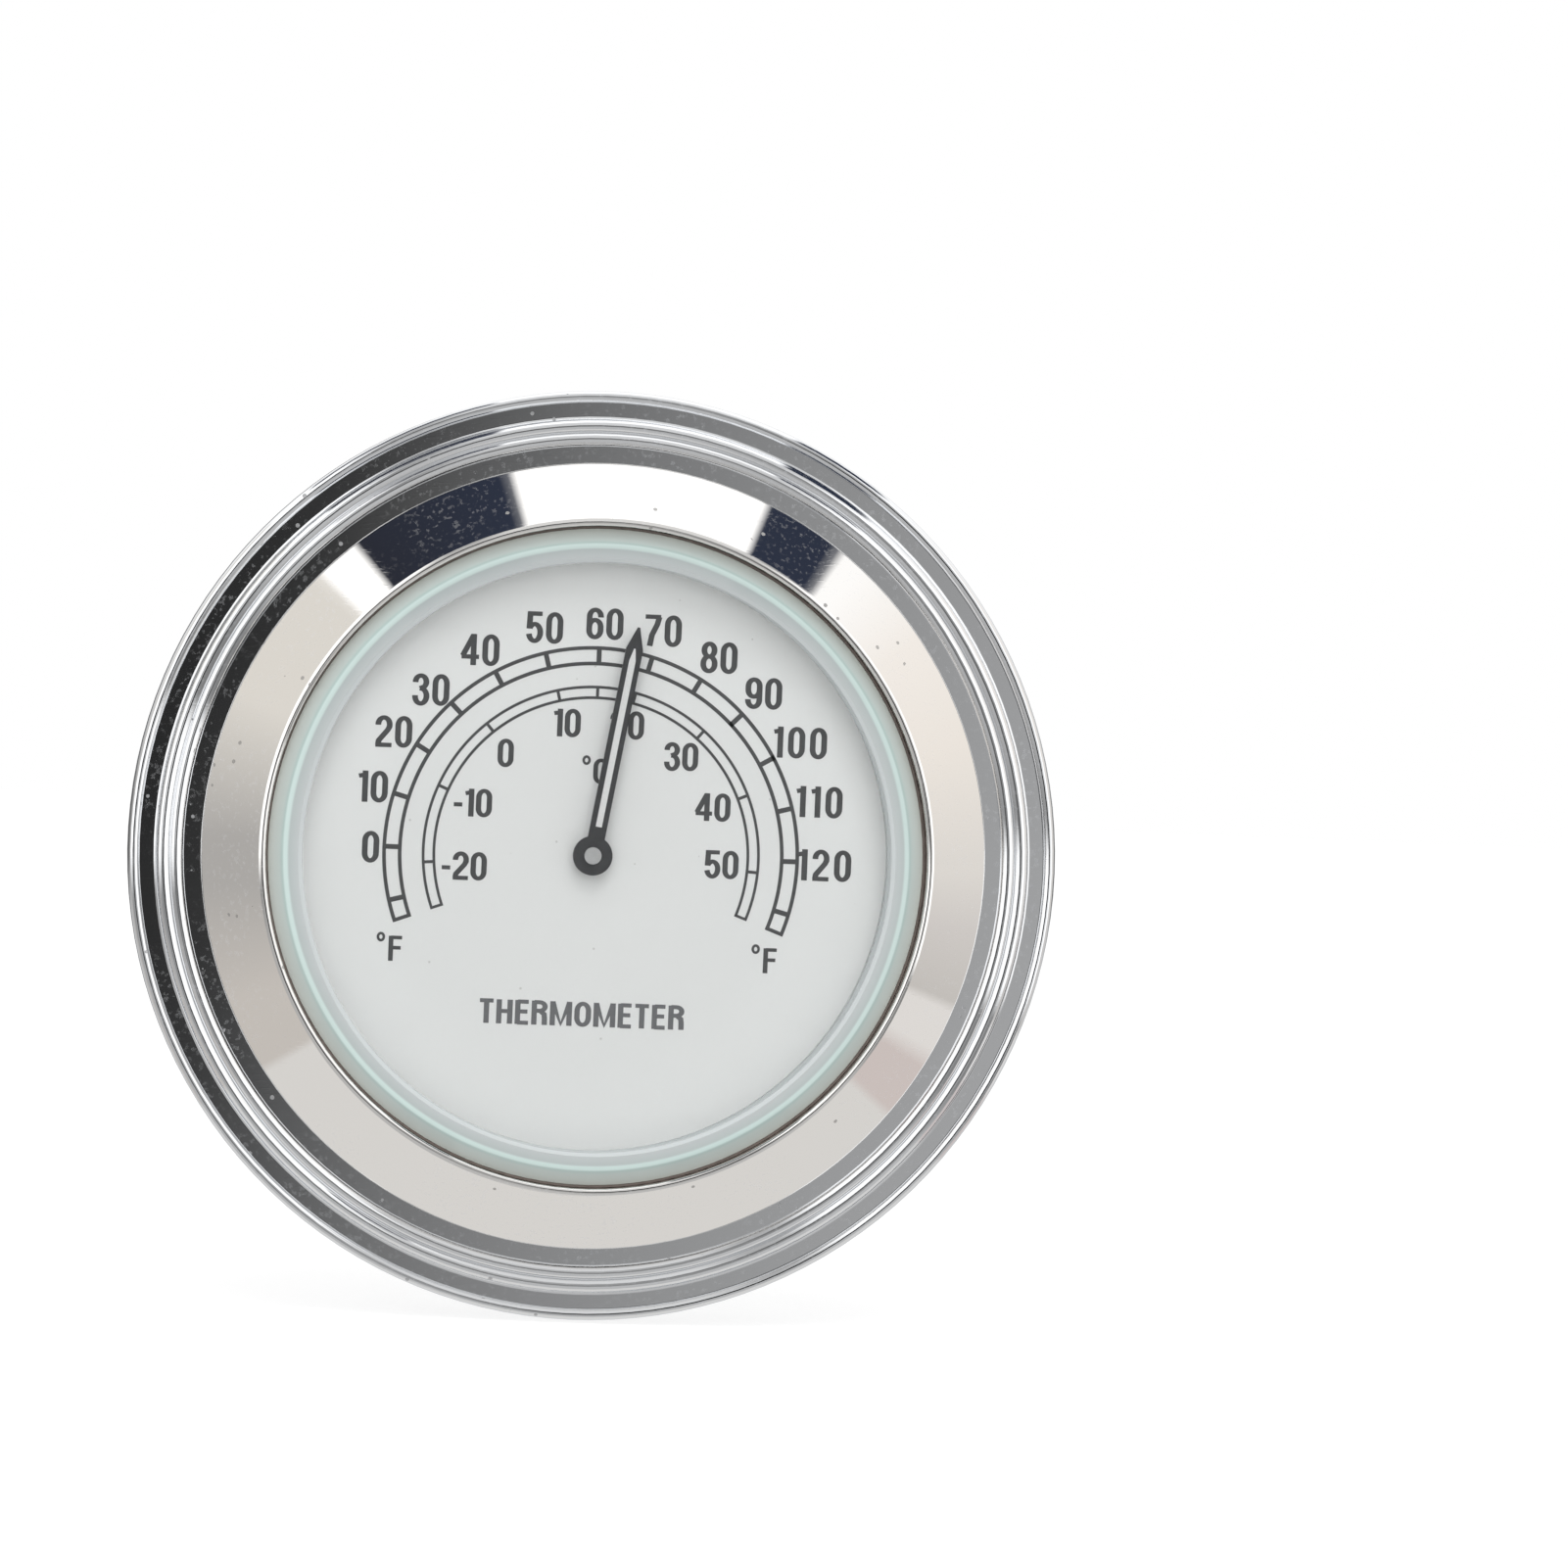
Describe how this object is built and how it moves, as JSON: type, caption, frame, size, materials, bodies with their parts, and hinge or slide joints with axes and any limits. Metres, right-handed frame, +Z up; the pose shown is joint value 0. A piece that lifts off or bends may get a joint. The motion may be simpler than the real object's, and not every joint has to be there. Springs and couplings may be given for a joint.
{
  "type": "dial thermometer",
  "caption": "Round chrome dial thermometer with a bimetal pointer movement, a double-beaded flange and a split clamp that fastens it to a tube.",
  "frame": {"origin": "centre of the clamp's bore, on the axis of the tube that it grips", "axes": "+X along the tube, +Z up towards 12 o'clock, the dial faces -Y"},
  "size_m": [0.06, 0.0525, 0.06],
  "materials": {
    "housing_chrome": "bright chrome plate with fine pits and scratches",
    "bezel_chrome": "polished, slightly warmer than the housing",
    "clamp_chrome": "chrome plate",
    "liner_rubber": "matt black",
    "seal_rubber": "matt black",
    "foam": "closed-cell foam",
    "zinc_steel": "zinc plate",
    "black_steel": "black oxide",
    "stainless": "turned stainless steel",
    "case_steel": "drawn sheet steel",
    "crystal_glass": "clear, faint aqua at the edge",
    "spacer_silver": "satin silver grey",
    "dial_silver": "satin silver-white with dark grey print",
    "brass": "rolled brass",
    "bush_brass": "turned brass",
    "bimetal": "rolled bimetal strip",
    "pointer_black": "satin black paint",
    "arbor_steel": "ground steel"
  },
  "bodies": {
    "housing": {"housing": "housing_chrome", "clamp_saddle": "clamp_chrome", "liner_front": "liner_rubber", "saddle_screws": "zinc_steel", "lock_screw": "black_steel", "cushion_pad": "foam"},
    "clamp_cap": {"clamp_cap": "clamp_chrome", "liner_rear": "liner_rubber", "clamp_screws": "stainless", "clamp_washers": "stainless"},
    "insert": {"insert_bezel": "bezel_chrome", "insert_case": "case_steel", "fit_band": "seal_rubber", "crystal": "crystal_glass", "crystal_gasket": "seal_rubber", "spacer_ring": "spacer_silver", "dial": "dial_silver", "movement_plate": "brass", "plate_screws": "zinc_steel", "pillars": "brass", "back_cover": "case_steel", "front_bush": "bush_brass", "rear_bush": "bush_brass", "anchor_post": "brass", "bimetal_coil": "bimetal"},
    "pointer": {"pointer": "pointer_black", "pointer_bush": "zinc_steel", "arbor": "arbor_steel", "coil_collet": "bush_brass"}
  },
  "joints": [
    {"name": "cap_off", "type": "slide", "parent": "housing", "child": "clamp_cap", "axis": [0, 1, 0], "range_m": [0, 0.03]},
    {"name": "insert_turn", "type": "hinge", "parent": "housing", "child": "insert", "pos_m": [0, -0.03, 0], "axis": [0, 1, 0], "continuous": true},
    {"name": "pointer_turn", "type": "hinge", "parent": "insert", "child": "pointer", "pos_m": [0, -0.031, 0], "axis": [0, 1, 0], "range_deg": [-119.6, 101.2], "stiffness_Nm_per_rad": 0.006, "deforming": ["bimetal_coil"]}
  ]
}
